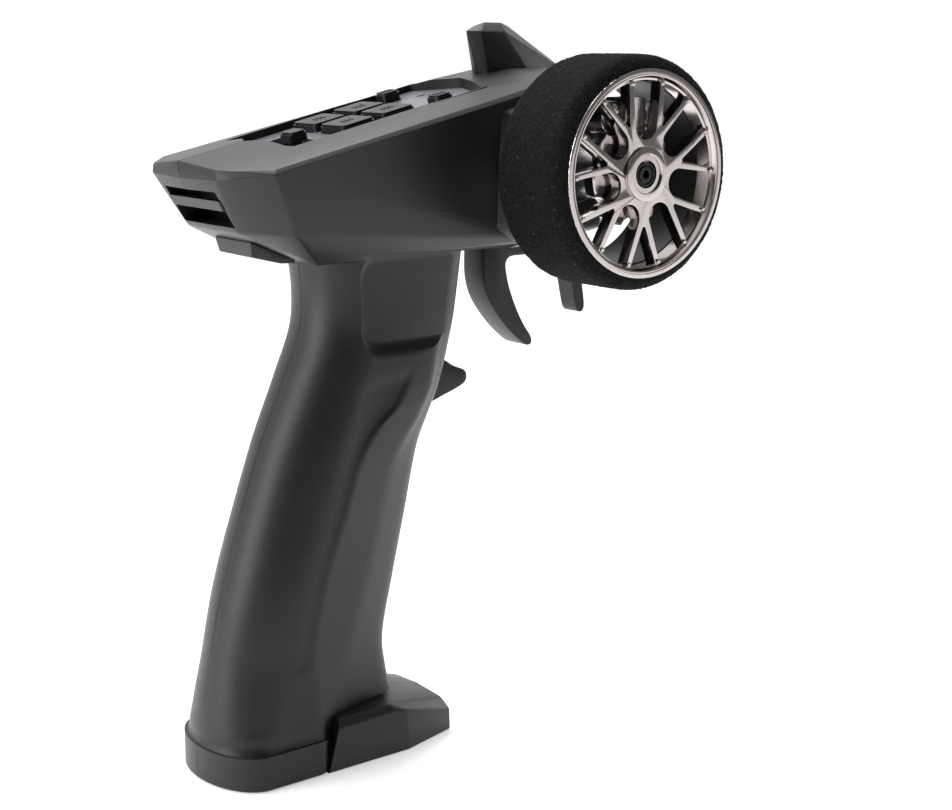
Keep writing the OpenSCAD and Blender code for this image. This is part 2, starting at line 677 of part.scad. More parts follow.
module battery_door() placed() color(shell_grey) difference() {
    union() {
        intersection() {
            foot_block();
            door_side(0.15);
        }
        box_between([12.2, -12.6, 0], [30, 12.6, 2]);
    }
    intersection() {
        grip_loft(2, 17, 3, wall + 0.5);
        box_between([20, -far, 0], [far, far, 20]);
    }
    cell_seats();
    box_between([20, -10.85, cell_z - 0.3], [cell_spots[1].x, 10.85, 20]);
    box_between([44.5, -9, wall], [base_len - 3, 9, 6]);
}

module battery_cradle() placed() color([0.1, 0.1, 0.11]) {
    box_between([19.4, -9.8, cell_z + cell_l + 1.4], [36, 9.8, cell_z + cell_l + 3.4]);
    box_between([15, -0.15, cell_z + 2], [35.4, 0.15, cell_z + cell_l + 2]);
}

module battery_cells() placed() color([0.2, 0.45, 0.3])
    for (p = cell_spots) translate([p.x, p.y, cell_z]) {
        cylinder(d = cell_d, h = cell_l - 1);
        cylinder(d = 3.6, h = cell_l);
    }

module battery_contacts() placed() color(steel_grey) {
    for (p = cell_spots)
        translate([p.x - 3.6, p.y - 4, cell_z + cell_l + 0.4]) cube([7.2, 8, 0.5]);
    for (y = [-5.4, 5.4])
        box_between([17, y - 3, 3.4], [34, y + 3, 3.9]);
}

module shell_screws() placed() color(steel_grey) for (p = SHELL_SCREWS) difference() {
    union() {
        bar_y(p.x, p.y, screw_tip_y, screw_seat_y + 0.1, screw_r);
        bar_y(p.x, p.y, screw_seat_y, screw_seat_y + 1.7, screw_head_r);
    }
    for (turn = [0, 90])
        translate([p.x, screw_seat_y + 1.4, p.y]) rotate([0, turn, 0]) cube([2.8, 1.4, 0.6], center = true);
}

right_shell();
left_shell();
top_cover();
control_panel();
power_knob();
power_switch();
steering_trim_minus();
steering_trim_plus();
throttle_trim_minus();
throttle_trim_plus();
channel_button_left();
channel_button_right();
led_lens();
key_mat();
main_board();
board_screws();
aerial_strip();
strap_bar();
rear_block();
wheel_rim();
wheel_drum();
foam_tyre();
wheel_adaptor();
caliper_block();
wheel_screw();
steering_spindle();
spindle_bush();
centring_spring();
steering_pot();
trigger();
trigger_pin();
trigger_spring();
throttle_pot();
grip_button();
grip_switch();
battery_door();
battery_cradle();
battery_cells();
battery_contacts();
shell_screws();
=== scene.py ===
"""Looks, light and camera for the pistol-grip radio transmitter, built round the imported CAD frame."""

import json
import math

import bmesh
import bpy
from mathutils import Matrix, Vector, noise


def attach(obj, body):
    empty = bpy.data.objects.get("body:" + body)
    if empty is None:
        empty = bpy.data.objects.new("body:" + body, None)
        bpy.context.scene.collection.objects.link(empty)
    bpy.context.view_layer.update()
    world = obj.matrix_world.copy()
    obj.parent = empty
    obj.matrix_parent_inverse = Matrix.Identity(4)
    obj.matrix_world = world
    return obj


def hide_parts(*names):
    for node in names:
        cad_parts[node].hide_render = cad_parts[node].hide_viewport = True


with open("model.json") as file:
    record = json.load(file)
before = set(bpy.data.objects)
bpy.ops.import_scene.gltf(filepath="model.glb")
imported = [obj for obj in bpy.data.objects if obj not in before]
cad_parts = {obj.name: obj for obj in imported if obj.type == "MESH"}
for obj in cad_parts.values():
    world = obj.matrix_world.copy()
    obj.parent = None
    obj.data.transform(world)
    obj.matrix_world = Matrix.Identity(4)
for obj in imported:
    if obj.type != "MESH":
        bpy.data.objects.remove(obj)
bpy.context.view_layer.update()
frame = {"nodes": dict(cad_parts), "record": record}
NODES = frame["nodes"]

MM = 0.001


# ---------- node materials ----------

class Nodes:
    """Short-hand for building one material's node tree."""

    def __init__(self, name):
        self.material = bpy.data.materials.new(name)
        self.material.use_nodes = True
        self.tree = self.material.node_tree
        self.shader = self.tree.nodes["Principled BSDF"]
        self.where = self.add("ShaderNodeTexCoord").outputs["Object"]

    def add(self, kind, **values):
        node = self.tree.nodes.new(kind)
        for key, value in values.items():
            setattr(node, key, value)
        return node

    def join(self, source, target):
        self.tree.links.new(source, target)

    def noise(self, per_mm, detail=3.0, rough=0.55, stretch=(1, 1, 1)):
        """Noise with the given number of features per millimetre."""
        mapping = self.add("ShaderNodeMapping")
        mapping.inputs["Scale"].default_value = [s / MM * per_mm for s in stretch]
        self.join(self.where, mapping.inputs["Vector"])
        noise = self.add("ShaderNodeTexNoise")
        noise.inputs["Scale"].default_value = 1.0
        noise.inputs["Detail"].default_value = detail
        noise.inputs["Roughness"].default_value = rough
        self.join(mapping.outputs["Vector"], noise.inputs["Vector"])
        return noise.outputs["Fac"]

    def spread(self, fac, low, high, from_low=0.3, from_high=0.7):
        """Maps a factor to a range of values."""
        node = self.add("ShaderNodeMapRange")
        node.inputs["From Min"].default_value = from_low
        node.inputs["From Max"].default_value = from_high
        node.inputs["To Min"].default_value = low
        node.inputs["To Max"].default_value = high
        self.join(fac, node.inputs["Value"])
        return node.outputs["Result"]

    def ramp(self, fac, stops):
        node = self.add("ShaderNodeValToRGB")
        elements = node.color_ramp.elements
        for i, (place, colour) in enumerate(stops):
            element = elements[i] if i < 2 else elements.new(place)
            element.position = place
            element.color = (*colour, 1)
        self.join(fac, node.inputs["Fac"])
        return node.outputs["Color"]

    def bump(self, heights):
        """Chains bumps of (height factor, depth in mm)."""
        last = None
        for fac, depth in heights:
            node = self.add("ShaderNodeBump")
            node.inputs["Strength"].default_value = 1.0
            node.inputs["Distance"].default_value = depth * MM
            self.join(fac, node.inputs["Height"])
            if last is not None:
                self.join(last, node.inputs["Normal"])
            last = node.outputs["Normal"]
        self.join(last, self.shader.inputs["Normal"])

    def painted_edge_highlight(self):
        """1 on convex edges, 0 on flat faces: where the plastic's colour is painted paler as an edge
        highlight.
        """
        geometry = self.add("ShaderNodeNewGeometry")
        return self.spread(geometry.outputs["Pointiness"], 0.0, 1.0, 0.52, 0.60)


def mixed(n, fac, low, high):
    """A colour between two, by a factor."""
    return n.ramp(fac, [(0.0, low), (1.0, high)])


def moulded_plastic(name, colour, roughness, grain=0.012, per_mm=3.2, gloss=0.4, painted_highlight_gain=1.35):
    """Textured ABS: spark-eroded grain, slow unevenness and slightly paler, smoother edges; the paler edge
    colour is a painted highlight.
    """
    n = Nodes(name)
    fine = n.noise(per_mm, 2.0, 0.6)
    slow = n.noise(0.06, 2.0, 0.5)
    tone = n.spread(slow, 0.88, 1.12)
    highlight_mask = n.painted_edge_highlight()
    # painted highlight: convex edges get a paler base colour
    base = mixed(n, highlight_mask, colour, [min(1, c * painted_highlight_gain) for c in colour])
    shade = n.add("ShaderNodeVectorMath", operation="SCALE")
    n.join(base, shade.inputs[0])
    n.join(tone, shade.inputs["Scale"])
    n.join(shade.outputs["Vector"], n.shader.inputs["Base Color"])
    n.join(n.spread(fine, roughness - 0.06, roughness + 0.07), n.shader.inputs["Roughness"])
    n.bump([(fine, grain), (slow, 0.02)])
    n.shader.inputs["Specular IOR Level"].default_value = gloss
    return n.material


def bare_metal(name, colour, roughness, turned=False):
    """Metal with fine uneven polish, drawn out into streaks where it is turned."""
    n = Nodes(name)
    n.shader.inputs["Metallic"].default_value = 1.0
    streak = n.noise(1.6, 2.0, 0.5, (1, 8, 1) if turned else (1, 1, 1))
    slow = n.noise(0.12, 2.0, 0.5)
    tint = mixed(n, n.spread(slow, 0, 1), [c * 0.88 for c in colour], colour)
    n.join(tint, n.shader.inputs["Base Color"])
    n.join(n.spread(streak, roughness * 0.75, roughness * 1.3), n.shader.inputs["Roughness"])
    n.bump([(streak, 0.002)])
    return n.material


def foam_rubber(name):
    """Open-cell foam: near black, soft and fibrous, with pale lint caught in it."""
    n = Nodes(name)
    cells = n.noise(1.9, 5.0, 0.7)
    lumps = n.noise(0.25, 3.0, 0.6)
    lint = n.noise(1.1, 6.0, 0.75, (1, 0.45, 1))
    body = n.ramp(cells, [(0.35, (0.001, 0.001, 0.0011)), (0.7, (0.013, 0.013, 0.0135))])
    fleck = n.spread(lint, 0.0, 1.0, 0.62, 0.72)
    mix = n.add("ShaderNodeMix", data_type="RGBA")
    n.join(fleck, mix.inputs["Factor"])
    n.join(body, mix.inputs["A"])
    mix.inputs["B"].default_value = (0.10, 0.095, 0.09, 1)
    n.join(mix.outputs["Result"], n.shader.inputs["Base Color"])
    n.shader.inputs["Roughness"].default_value = 0.95
    n.shader.inputs["Specular IOR Level"].default_value = 0.12
    n.bump([(lumps, 0.35), (cells, 0.30)])
    return n.material


SHELL = moulded_plastic("shell_abs", (0.0066, 0.0066, 0.0072), 0.42, gloss=0.38)
KEY = moulded_plastic("key_plastic", (0.0050, 0.0050, 0.0055), 0.40, 0.004, gloss=0.3, painted_highlight_gain=1.0)
PANEL = moulded_plastic("panel_film", (0.10, 0.103, 0.118), 0.32, 0.0002, gloss=0.7, painted_highlight_gain=1.0)
FOAM = foam_rubber("tyre_foam")
CHROME = bare_metal("plated_rim", (0.50, 0.455, 0.445), 0.13)
MACHINED = bare_metal("machined_alloy", (0.62, 0.585, 0.58), 0.2, True)
STEEL = bare_metal("steel", (0.50, 0.50, 0.52), 0.32)
BLACK_STEEL = bare_metal("black_steel", (0.035, 0.035, 0.038), 0.35)
BRONZE = bare_metal("bronze", (0.55, 0.36, 0.16), 0.35, True)
POT = moulded_plastic("pot_blue", (0.02, 0.06, 0.18), 0.45, 0.004)
MAT = moulded_plastic("mat_rubber", (0.03, 0.03, 0.035), 0.7, 0.006)
BOARD = moulded_plastic("board_green", (0.01, 0.10, 0.04), 0.35, 0.002)
CELL = moulded_plastic("cell_sleeve", (0.03, 0.18, 0.09), 0.3, 0.002)
LENS = moulded_plastic("led_smoked", (0.05, 0.012, 0.010), 0.2, 0.001, painted_highlight_gain=1.0)
SWITCH = moulded_plastic("switch_blue", (0.03, 0.09, 0.26), 0.35, 0.002, painted_highlight_gain=1.0)

BY_SLOT = {
    "shell": SHELL, "panel": PANEL, "key": KEY, "lens": LENS, "chrome_trim": CHROME,
    "machined": MACHINED, "foam": FOAM, "black_screw": BLACK_STEEL, "steel": STEEL, "bronze": BRONZE,
    "pot_body": POT, "switch_body": SWITCH, "switch_case": STEEL, "mat": MAT, "board": BOARD,
    "aerial_metal": BRONZE, "cell": CELL,
}


def linked(name, data):
    """A new object in the scene from a mesh, light or camera."""
    obj = bpy.data.objects.new(name, data)
    bpy.context.collection.objects.link(obj)
    return obj


def discard(obj):
    """Removes a helper solid with its mesh."""
    mesh = obj.data
    bpy.data.objects.remove(obj)
    bpy.data.meshes.remove(mesh)


def dress(obj, material):
    """Gives an object its only material."""
    obj.data.materials.clear()
    obj.data.materials.append(material)


def soften(obj, width, angle=24):
    """Rounds a CAD node's sharp edges and smooths the rest, without touching its vertices."""
    weld = obj.modifiers.new("weld", "WELD")
    weld.merge_threshold = 0.002 * MM
    bevel = obj.modifiers.new("round", "BEVEL")
    bevel.width = width * MM
    bevel.segments = 2
    bevel.limit_method = "ANGLE"
    bevel.angle_limit = math.radians(angle)
    bevel.miter_outer = "MITER_ARC"
    normals = obj.modifiers.new("normals", "WEIGHTED_NORMAL")
    normals.keep_sharp = True


for entry in frame["record"]["subparts"]:
    node = NODES[entry["node"]]
    dress(node, BY_SLOT[entry["material_slot"]])
    for polygon in node.data.polygons:
        polygon.use_smooth = True


# ---------- grip, in millimetres from the rear seam of the base ----------

BASE_LEN = 62.0
SEAM = 0.16  # how far each shell half reaches past the mid-plane
WALL = 1.8
FLANGE_H = 8.0
FLANGE_STEP = 0.5
GRIP_TOP = 115.7

# Lines that shape the grip, with the CAD's values: (height, value) pairs joined by smooth curves.
BACK = [(8, 0.1), (10.4, 0.8), (20, 2.4), (43, 7.6), (72, 17.4), (88, 24.4), (98, 28.6), (106, 29.5),
        (116, 28.6)]
FRONT = [(8, 49), (12, 48.2), (18, 46.8), (26, 46), (40, 49), (55, 52.6), (70, 56), (77, 58.6), (84, 61.2),
         (92, 63), (100, 64.8), (116, 67)]
SIDE = [(8, 15.5), (10.4, 14.8), (20, 14.5), (45, 14.8), (70, 14.4), (90, 13.7), (104, 13.3), (116, 13.8)]
ROUND = [(8, 9.5), (14, 12), (30, 16), (70, 16), (104, 12), (116, 12)]
RIDGE_X = [(8, 24), (20, 22.5), (28, 21.5), (44, 25), (60, 31.2), (70, 35), (77, 40), (82, 46), (90, 50),
           (116, 54)]
CREASE_X = [(8, 28), (18, 29.6), (31, 33.9), (42, 38), (57, 42.4), (66, 44.9), (72, 48.1), (78, 52.6),
            (86, 56), (116, 59)]
CREASE_Y = [(8, 12.6), (40, 12), (66, 11.9), (78, 12.4), (86, 13.2), (116, 13.5)]
NOSE_Y = [(8, 7.5), (70, 7.5), (84, 8.6), (92, 9.6), (116, 10.2)]


def curve(z, table):
    """Smooth curve through (height, value) pairs, the same as in the CAD."""
    last = len(table) - 1
    i = 0
    while i < last - 1 and z >= table[i + 1][0]:
        i += 1

    def rise(k):
        a, b = table[max(k - 1, 0)], table[min(k + 1, last)]
        return (b[1] - a[1]) / (b[0] - a[0])

    h = table[i + 1][0] - table[i][0]
    u = (z - table[i][0]) / h
    start, end = table[i][1], table[i + 1][1]
    ease = (3 - 2 * u) * u * u
    return start + (end - start) * ease + h * u * (1 - u) * ((1 - u) * rise(i) - u * rise(i + 1))


def place(x, y, z):
    """From millimetres counted from the rear seam to the row frame in metres."""
    return Vector(((x - BASE_LEN / 2) * MM, y * MM, z * MM))


def fillet(before, corner, after, reach, steps=6):
    """Points that round a corner of an outline off."""
    a = corner + (before - corner).normalized() * min(reach, (before - corner).length * 0.45)
    b = corner + (after - corner).normalized() * min(reach, (after - corner).length * 0.45)
    us = [i / steps for i in range(steps + 1)]
    return [a * (1 - u) ** 2 + corner * 2 * u * (1 - u) + b * u * u for u in us]


def half_ring(z, inset, arc_steps):
    """Half of the grip's outline at a height, from the back seam round to the front."""
    back = curve(z, BACK) + inset
    front = curve(z, FRONT) - inset
    w = curve(z, SIDE) - inset
    ridge = min(curve(z, RIDGE_X), front - 9)
    a = min(curve(z, ROUND), ridge - back - 1.6)
    crease = min(curve(z, CREASE_X), front - 5)
    crease_w = min(curve(z, CREASE_Y) - inset, w - 0.15)
    nose = curve(z, NOSE_Y) - inset
    quarter = [math.pi / 2 * i / arc_steps for i in range(arc_steps + 1)]
    ring = [Vector((back + a * (1 - math.cos(t)), w * math.sin(t))) for t in quarter]
    rear_end = ring[-1]
    ridge_at, crease_at = Vector((ridge, w)), Vector((crease, crease_w))
    shoulder = Vector((front - 3.2, nose + 1.4))
    tip = Vector((front, nose + 0.2))
    flat = Vector((front, nose - 3.4))
    ring += fillet(rear_end, ridge_at, crease_at, 1.6)
    ring += fillet(ridge_at, crease_at, shoulder, 2.2)
    ring += fillet(crease_at, tip, flat, 5.0, 8)
    ring += [flat, Vector((front, (nose - 3.4) / 2)), Vector((front, 0))]
    return ring


def smooth_step(value, start, end):
    """Eases from 0 at the start to 1 at the end."""
    u = min(1, max(0, (value - start) / (end - start)))
    return u * u * (3 - 2 * u)


# The upper end of the dished palm area, as (distance, height) pairs.
ARC_TOP = [(19.9, 82.4), (29.4, 86.9), (45.4, 88.7), (52.2, 91.3)]
ARC_START, ARC_END = 19.9, 52
FLUTE = 0.65


def flute_depth(x, z):
    """The palm area of the side is dished, from the arc at its top to the sweep above the base."""
    top = curve(x, ARC_TOP) if ARC_START < x < ARC_END else ARC_TOP[0][1]
    rear = curve(z, BACK) + 11
    ridge = curve(z, RIDGE_X)
    floor_z = 23.3 + 0.9 * max(0, x - 12) / 6
    inside = smooth_step(top - z, 0, 2.6) * smooth_step(z - floor_z, 0, 3)
    across = smooth_step(x - rear, 0, 7) * smooth_step(ridge + 1 - x, 0, 3.5)
    return FLUTE * inside * across


# ---------- solids ----------

def loft_mesh(name, rings):
    """A closed solid through rings of equally many points."""
    count = len(rings[0])
    points = [p for ring in rings for p in ring]
    faces = [list(range(count))[::-1]]
    for i in range(len(rings) - 1):
        for j in range(count):
            k = (j + 1) % count
            faces.append((i * count + j, i * count + k, (i + 1) * count + k, (i + 1) * count + j))
    faces.append([(len(rings) - 1) * count + j for j in range(count)])
    return mesh_object(name, points, faces)


def mesh_object(name, points, faces):
    """An object from points and faces, with its faces turned outwards."""
    mesh = bpy.data.meshes.new(name)
    mesh.from_pydata(points, [], faces)
    mesh.validate()
    bm = bmesh.new()
    bm.from_mesh(mesh)
    bmesh.ops.recalc_face_normals(bm, faces=bm.faces)
    bm.to_mesh(mesh)
    bm.free()
    return linked(name, mesh)


def prism(name, points):
    """A solid between two outlines of equally many points, given one after the other."""
    count = len(points) // 2
    faces = [list(range(count)), list(range(count, 2 * count))[::-1]]
    faces += [(i, count + i, count + (i + 1) % count, (i + 1) % count) for i in range(count)]
    return mesh_object(name, points, faces)


def ring_mesh(name, points, turns):
    """A closed ring from rows of points, one row for each step of the turn."""
    count = len(points) // turns
    faces = []
    for k in range(turns):
        m = (k + 1) % turns
        for j in range(count):
            n = (j + 1) % count
            faces.append((k * count + j, k * count + n, m * count + n, m * count + j))
    return mesh_object(name, points, faces)


def pulled_in(z):
    """How far the outline draws in: at the base's lower edge, and just above the base flange."""
    if z > FLANGE_H + 0.05:
        return FLANGE_STEP * (1 - smooth_step(z, FLANGE_H + 0.1, 12))
    return FLANGE_STEP * (1 - smooth_step(z, 0, 0.5))


def grip_solid(name, heights, inset, arc_steps, floor_z=0.0, fluted=False):
    """The grip from its outlines at the given heights; fluted adds the dish and the flange's step."""
    rings = []
    for z in heights:
        half = half_ring(max(z, FLANGE_H), inset, arc_steps)
        lift = floor_z if z <= 0 else z
        draw = pulled_in(z) if fluted else 0
        side = []
        for p in half:
            dish = flute_depth(p.x, z) if fluted else 0
            side.append((p.x + (draw if p.x < 20 else 0), max(0.0, p.y - dish - draw)))
        near = [place(x, -y, lift) for x, y in side]
        opposite = [place(x, y, lift) for x, y in side[1:-1]][::-1]
        rings.append(near + opposite)
    return loft_mesh(name, rings)


def hull_solid(name, points, round_mm=0.0, segments=3, mirrored=True, angle=12, rim=()):
    """The smallest solid round the points and their mirror images; edges along the rim stay sharp."""
    bm = bmesh.new()
    for x, y, z in points:
        for side in ((-1, 1) if mirrored and y else (1,)):
            bm.verts.new(place(x, side * y, z))
    result = bmesh.ops.convex_hull(bm, input=bm.verts)
    spare = [v for v in result["geom_interior"] if isinstance(v, bmesh.types.BMVert)]
    bmesh.ops.delete(bm, geom=spare, context="VERTS")
    bmesh.ops.dissolve_limit(bm, angle_limit=math.radians(1.0), verts=bm.verts, edges=bm.edges)
    bmesh.ops.recalc_face_normals(bm, faces=bm.faces)
    if round_mm:
        keep = [place(x, side * y, z) for x, y, z in rim for side in (-1, 1)]
        on_rim = {v for v in bm.verts if any((v.co - p).length < 0.01 * MM for p in keep)}
        sharp = [e for e in bm.edges
                 if e.calc_face_angle(0) > math.radians(angle) and not set(e.verts) <= on_rim]
        bmesh.ops.bevel(bm, geom=sharp, offset=round_mm * MM, segments=segments, profile=0.5,
                        affect="EDGES", clamp_overlap=True)
    mesh = bpy.data.meshes.new(name)
    bm.to_mesh(mesh)
    bm.free()
    return linked(name, mesh)


def box_solid(name, low, high):
    """A box between two corners."""
    corners = [(x, y, z) for x in (low[0], high[0]) for y in (low[1], high[1]) for z in (low[2], high[2])]
    return hull_solid(name, corners, mirrored=False)


def slab_solid(name, outline, y_from, y_to, round_mm=0.0):
    """A flat convex or concave outline in x and z, given a width along y."""
    obj = prism(name, [place(x, y, z) for y in (y_from, y_to) for x, z in outline])
    if round_mm:
        rounded(obj, round_mm)
    return obj


def rod_solid(name, x, z, y_from, y_to, radius, round_mm=0.0, steps=72):
    """A round rod along y."""
    turns = [2 * math.pi * i / steps for i in range(steps)]
    outline = [(x + radius * math.cos(t), z + radius * math.sin(t)) for t in turns]
    return slab_solid(name, outline, y_from, y_to, round_mm)


def rounded(obj, width, segments=3, angle=30):
    """Rounds a solid's sharp edges for good."""
    bevel = obj.modifiers.new("round", "BEVEL")
    bevel.width = width * MM
    bevel.segments = segments
    bevel.limit_method = "ANGLE"
    bevel.angle_limit = math.radians(angle)
    settle(obj)


def settle(obj):
    """Applies an object's modifiers."""
    depsgraph = bpy.context.evaluated_depsgraph_get()
    mesh = bpy.data.meshes.new_from_object(obj.evaluated_get(depsgraph))
    obj.modifiers.clear()
    old = obj.data
    obj.data = mesh
    bpy.data.meshes.remove(old)


def carve(obj, cutter, operation="DIFFERENCE"):
    """Takes the cutter away from a solid, adds it or keeps what both share; the cutter is used up."""
    modifier = obj.modifiers.new("carve", "BOOLEAN")
    modifier.operation = operation
    modifier.object = cutter
    modifier.solver = "EXACT"
    settle(obj)
    discard(cutter)


def smooth_by_angle(obj, degrees):
    """Smooth shading, with edges sharper than the angle kept crisp."""
    for polygon in obj.data.polygons:
        polygon.use_smooth = True
    obj.data.set_sharp_from_angle(angle=math.radians(degrees))


def hand_over(obj, material, node, body):
    """Dresses a finished piece and lets it take a CAD node's place."""
    dress(obj, material)
    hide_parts(node)
    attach(obj, body)


# ---------- shells ----------

EDGE_Z, EDGE_SLOPE = 133.1, 0.2153


def edge(x):
    """Height of the parting line between the head and its cover."""
    return EDGE_Z + EDGE_SLOPE * x


# One side of the head, as corners: the parting line with the cover, the lower edges and the belly.
PARTING = [(0.4, 0, edge(0.4)), (1.4, 13.6, edge(1.4)), (3.2, 17, edge(3.2)), (8.6, 24.3, edge(8.6)),
           (66, 22.1, edge(66)), (84, 21.6, edge(84)), (100, 16, 150.4), (107, 9, 147), (109, 0, 146)]
LOWER = [(7.6, 0, 122), (7.8, 10.4, 122), (9.4, 13.3, 122), (15, 22, 122), (57, 20.9, 122), (68, 20.7, 119),
         (84, 20.2, 117), (98, 14, 118), (105, 7, 122), (107, 0, 124)]
BELLY = [(17, 13, 117.8), (24.5, 15.5, 114.6), (60, 15.5, 114.6), (82, 15, 114.6), (95, 9, 115.4),
         (99, 0, 116)]
# One side of the head's hollow.
HEAD_INSIDE = [(3.4, 0, 140), (4.4, 12.6, 140), (11, 21.8, 142), (66, 19.9, 154), (84, 19.4, 158),
               (98, 13.6, 158), (105.2, 6.4, 154), (106.6, 0, 152), (14, 0, 121), (17, 19.5, 122.6),
               (57, 18.8, 122.6), (84, 18.2, 118.6), (96, 12, 119.6), (104.4, 0, 124.6), (26, 14, 116.8),
               (82, 13.5, 116.8), (95, 0, 117.4)]
# The wheel's boss, as outlines at three distances from the mid-plane.
BOSS_LAYERS = [
    (-12, [(66.5, 146.4), (67, 120), (73, 116.8), (97, 117.5), (101, 130), (99, 149), (84, 150.4)]),
    (-20, [(66.5, 146.4), (67, 120), (73, 116.8), (96, 117.5), (98, 130), (97, 147), (84, 150.4)]),
    (-25.2, [(70.6, 144.6), (70.2, 121), (75, 118), (95, 119), (98, 131), (96, 146), (84, 148.6)]),
]
# The rings on the boss, as (outer end, inner end, radius).
BOSS_RINGS = [(-26.6, -24, 14), (-27.8, -26, 10.6), (-29, -27, 7.6)]
WHEEL_X, WHEEL_Z = 84.4, 133.1
SCREWS = [(22, 126), (70, 122), (103, 136), (46, 101), (34, 63), (39.4, 31), (8, 13)]
SCREW_BOSS_R, SCREW_HEAD_R = 3.6, 2.5
BUSH_R = 5
# What is cut out of the shells for the strap bar, the trigger and the grip button: side view and half width.
SHELL_CUTS = {
    "pocket": ([(-6, 130.8), (10.2, 130.8), (14, 123.2), (-6, 123.2)], 10.6),
    "slot": ([(73, 100), (73, 120.4), (98, 120.4), (100, 119.6), (112, 119.6), (112, 100)], 6.3),
    "button_slot": ([(50, 77.8), (70, 77.8), (70, 90.3), (50, 90.3)], 4.7),
}
# Side view of the region that the foot fills, and of the slightly larger one that the shells leave free.
DOOR_SIDE = [(24.52, -1), (28.12, 12.04), (200, 12.04), (200, -1)]
DOOR_CUT = [(24.36, -1), (27.96, 12.24), (200, 12.24), (200, -1)]
# The finger recess: distance from the mid-plane and how much wider the outline is there.
RECESS_ROWS = [(12.3, 0.0), (12.42, 0.7), (12.75, 1.4), (13.2, 2.2), (13.7, 3.4), (18, 6)]
RECESS_CORNERS = [(70, 109.4, 0), (41.6, 109.4, 90), (41.6, 100.2, 180), (70, 100.2, 270)]
RECESS_CORNER_R = 4


def finger_cutter(side):
    """A dish with a flat floor, rounded corners and slanted walls, open to the front."""
    rows = []
    for y, grow in RECESS_ROWS:
        radius = RECESS_CORNER_R + grow
        outline = []
        for cx, cz, start in RECESS_CORNERS:
            for step in range(9):
                t = math.radians(start + 90 * step / 8)
                outline.append(place(cx + radius * math.cos(t), side * y, cz + radius * math.sin(t)))
        rows.append(outline)
    return loft_mesh("finger_cutter", rows)


def shell_outside():
    """Head, grip and boss as one solid."""
    heights = [0, 0.15, 0.3, 0.5, 7.6, FLANGE_H, 8.12, 8.4, 8.9, 9.6, 10.4, 11.2, 12]
    heights += [12.8 + (GRIP_TOP - 12.8) * i / 110 for i in range(111)]
    grip = grip_solid("grip", heights, 0, 22, fluted=True)
    head = hull_solid("head", PARTING + LOWER + BELLY, 0.7, rim=PARTING)
    carve(head, grip, "UNION")
    boss = [(x, y, z) for y, layer in BOSS_LAYERS for x, z in layer]
    carve(head, hull_solid("boss", boss, 0.9, mirrored=False), "UNION")
    for y_from, y_to, radius in BOSS_RINGS:
        carve(head, rod_solid("ring", WHEEL_X, WHEEL_Z, y_from, y_to, radius, 0.3), "UNION")
    return head


def shell_inside():
    """The hollow of grip and head, less the screw bosses and the strap bar's seat."""
    heights = [0, 2, FLANGE_H, 10.4] + [13 + 12 * i for i in range(9)] + [117]
    inside = grip_solid("inside", heights, WALL, 8, floor_z=WALL)
    carve(inside, hull_solid("head_inside", HEAD_INSIDE), "UNION")
    for x, z in SCREWS:
        carve(inside, rod_solid("boss", x, z, -40, 40, SCREW_BOSS_R, steps=32))
    carve(inside, box_solid("strap_seat", (0, -12.3, 120), (15.5, 12.3, 132.6)))
    return inside


def shell_halves():
    """Both shells, parted at the mid-plane, where they overlap by twice SEAM."""
    head = shell_outside()
    carve(head, shell_inside())
    for name, (outline, half_width) in SHELL_CUTS.items():
        carve(head, slab_solid(name, outline, -half_width, half_width))
    for side in (-1, 1):
        carve(head, finger_cutter(side))
    carve(head, slab_solid("door_cut", DOOR_CUT, -40, 40))
    carve(head, box_solid("plate_cut", (11.8, -12.9, -1), (40, 12.9, 2.3)))
    for x, z in SCREWS:
        carve(head, rod_solid("counterbore", x, z, 7, 40, SCREW_HEAD_R, steps=32))
    carve(head, rod_solid("bush_bore", WHEEL_X, WHEEL_Z, -40, -12, BUSH_R))
    taken_away = (("shell_right", "right_shell", SEAM, 60), ("shell_left", "left_shell", -60, -SEAM))
    for name, node, y_from, y_to in taken_away:
        half = linked(name, head.data.copy())
        carve(half, box_solid("far_side", (-30, y_from, -10), (150, y_to, 190)))
        smooth_by_angle(half, 26)
        hand_over(half, SHELL, node, "housing")
    discard(head)


# ---------- cover ----------

PANEL_AT = Vector((18.7, 0, 139.1))
PANEL_TILT = math.radians(12.9)
PANEL_DEPTH = 1.4
# One side of the cover's top, of its hollow and of the fin, as corners.
COVER_TOP = [(0, 0, 136.7), (1.5, 13.3, 135.5), (3.4, 16.6, 135.3), (9.2, 23.4, 136), (66, 21.1, 148.4),
             (84, 20.6, 152.2), (99.4, 15.2, 151.6), (106.4, 8, 148.4), (108.4, 0, 147.4),
             (10, 13.6, 137.1), (18.7, 13.9, 139.1), (70, 13.7, 150.8), (73, 8, 152.4), (84, 6, 154.6),
             (97, 4, 154.6), (103, 0, 153.4)]
COVER_INSIDE = [(3, 0, 132), (5, 12.6, 132), (11, 21.4, 133), (66, 19.6, 144), (84, 19.2, 149),
                (98, 13.4, 148), (105, 6, 144), (106, 0, 143), (11, 20.6, 134.2), (66, 19, 146),
                (84, 18.6, 150), (97, 13, 149.4), (5, 0, 134.4), (18.7, 13, 136.6), (70, 12.6, 148.2),
                (84, 5, 152), (97, 3, 151.6)]
FIN = [(75.3, 0, 163), (77.6, 0, 164.2), (80.8, 0, 165.1), (85.6, 0, 165), (87.7, 0, 164.2),
       (77.6, 2.8, 162.9), (83.8, 2.8, 162.8), (84.8, 2.6, 163), (78.4, 0, 153.6), (79.6, 3, 153.2),
       (91.6, 4.4, 152.6), (104.6, 0, 154.4)]
# The flat frame round the recess, in the panel's own frame, and the space below the cover in side view.
BEZEL = [(-4, 14.1), (-4, -14.1), (53, -14.1), (58, 0), (53, 14.1)]
UNDER_COVER = [(-5, 100), (-5, edge(-5) + 0.04), (84, edge(84) + 0.04), (100, 150.44), (107, 147.04),
               (109, 146.04), (125, 138), (125, 100)]


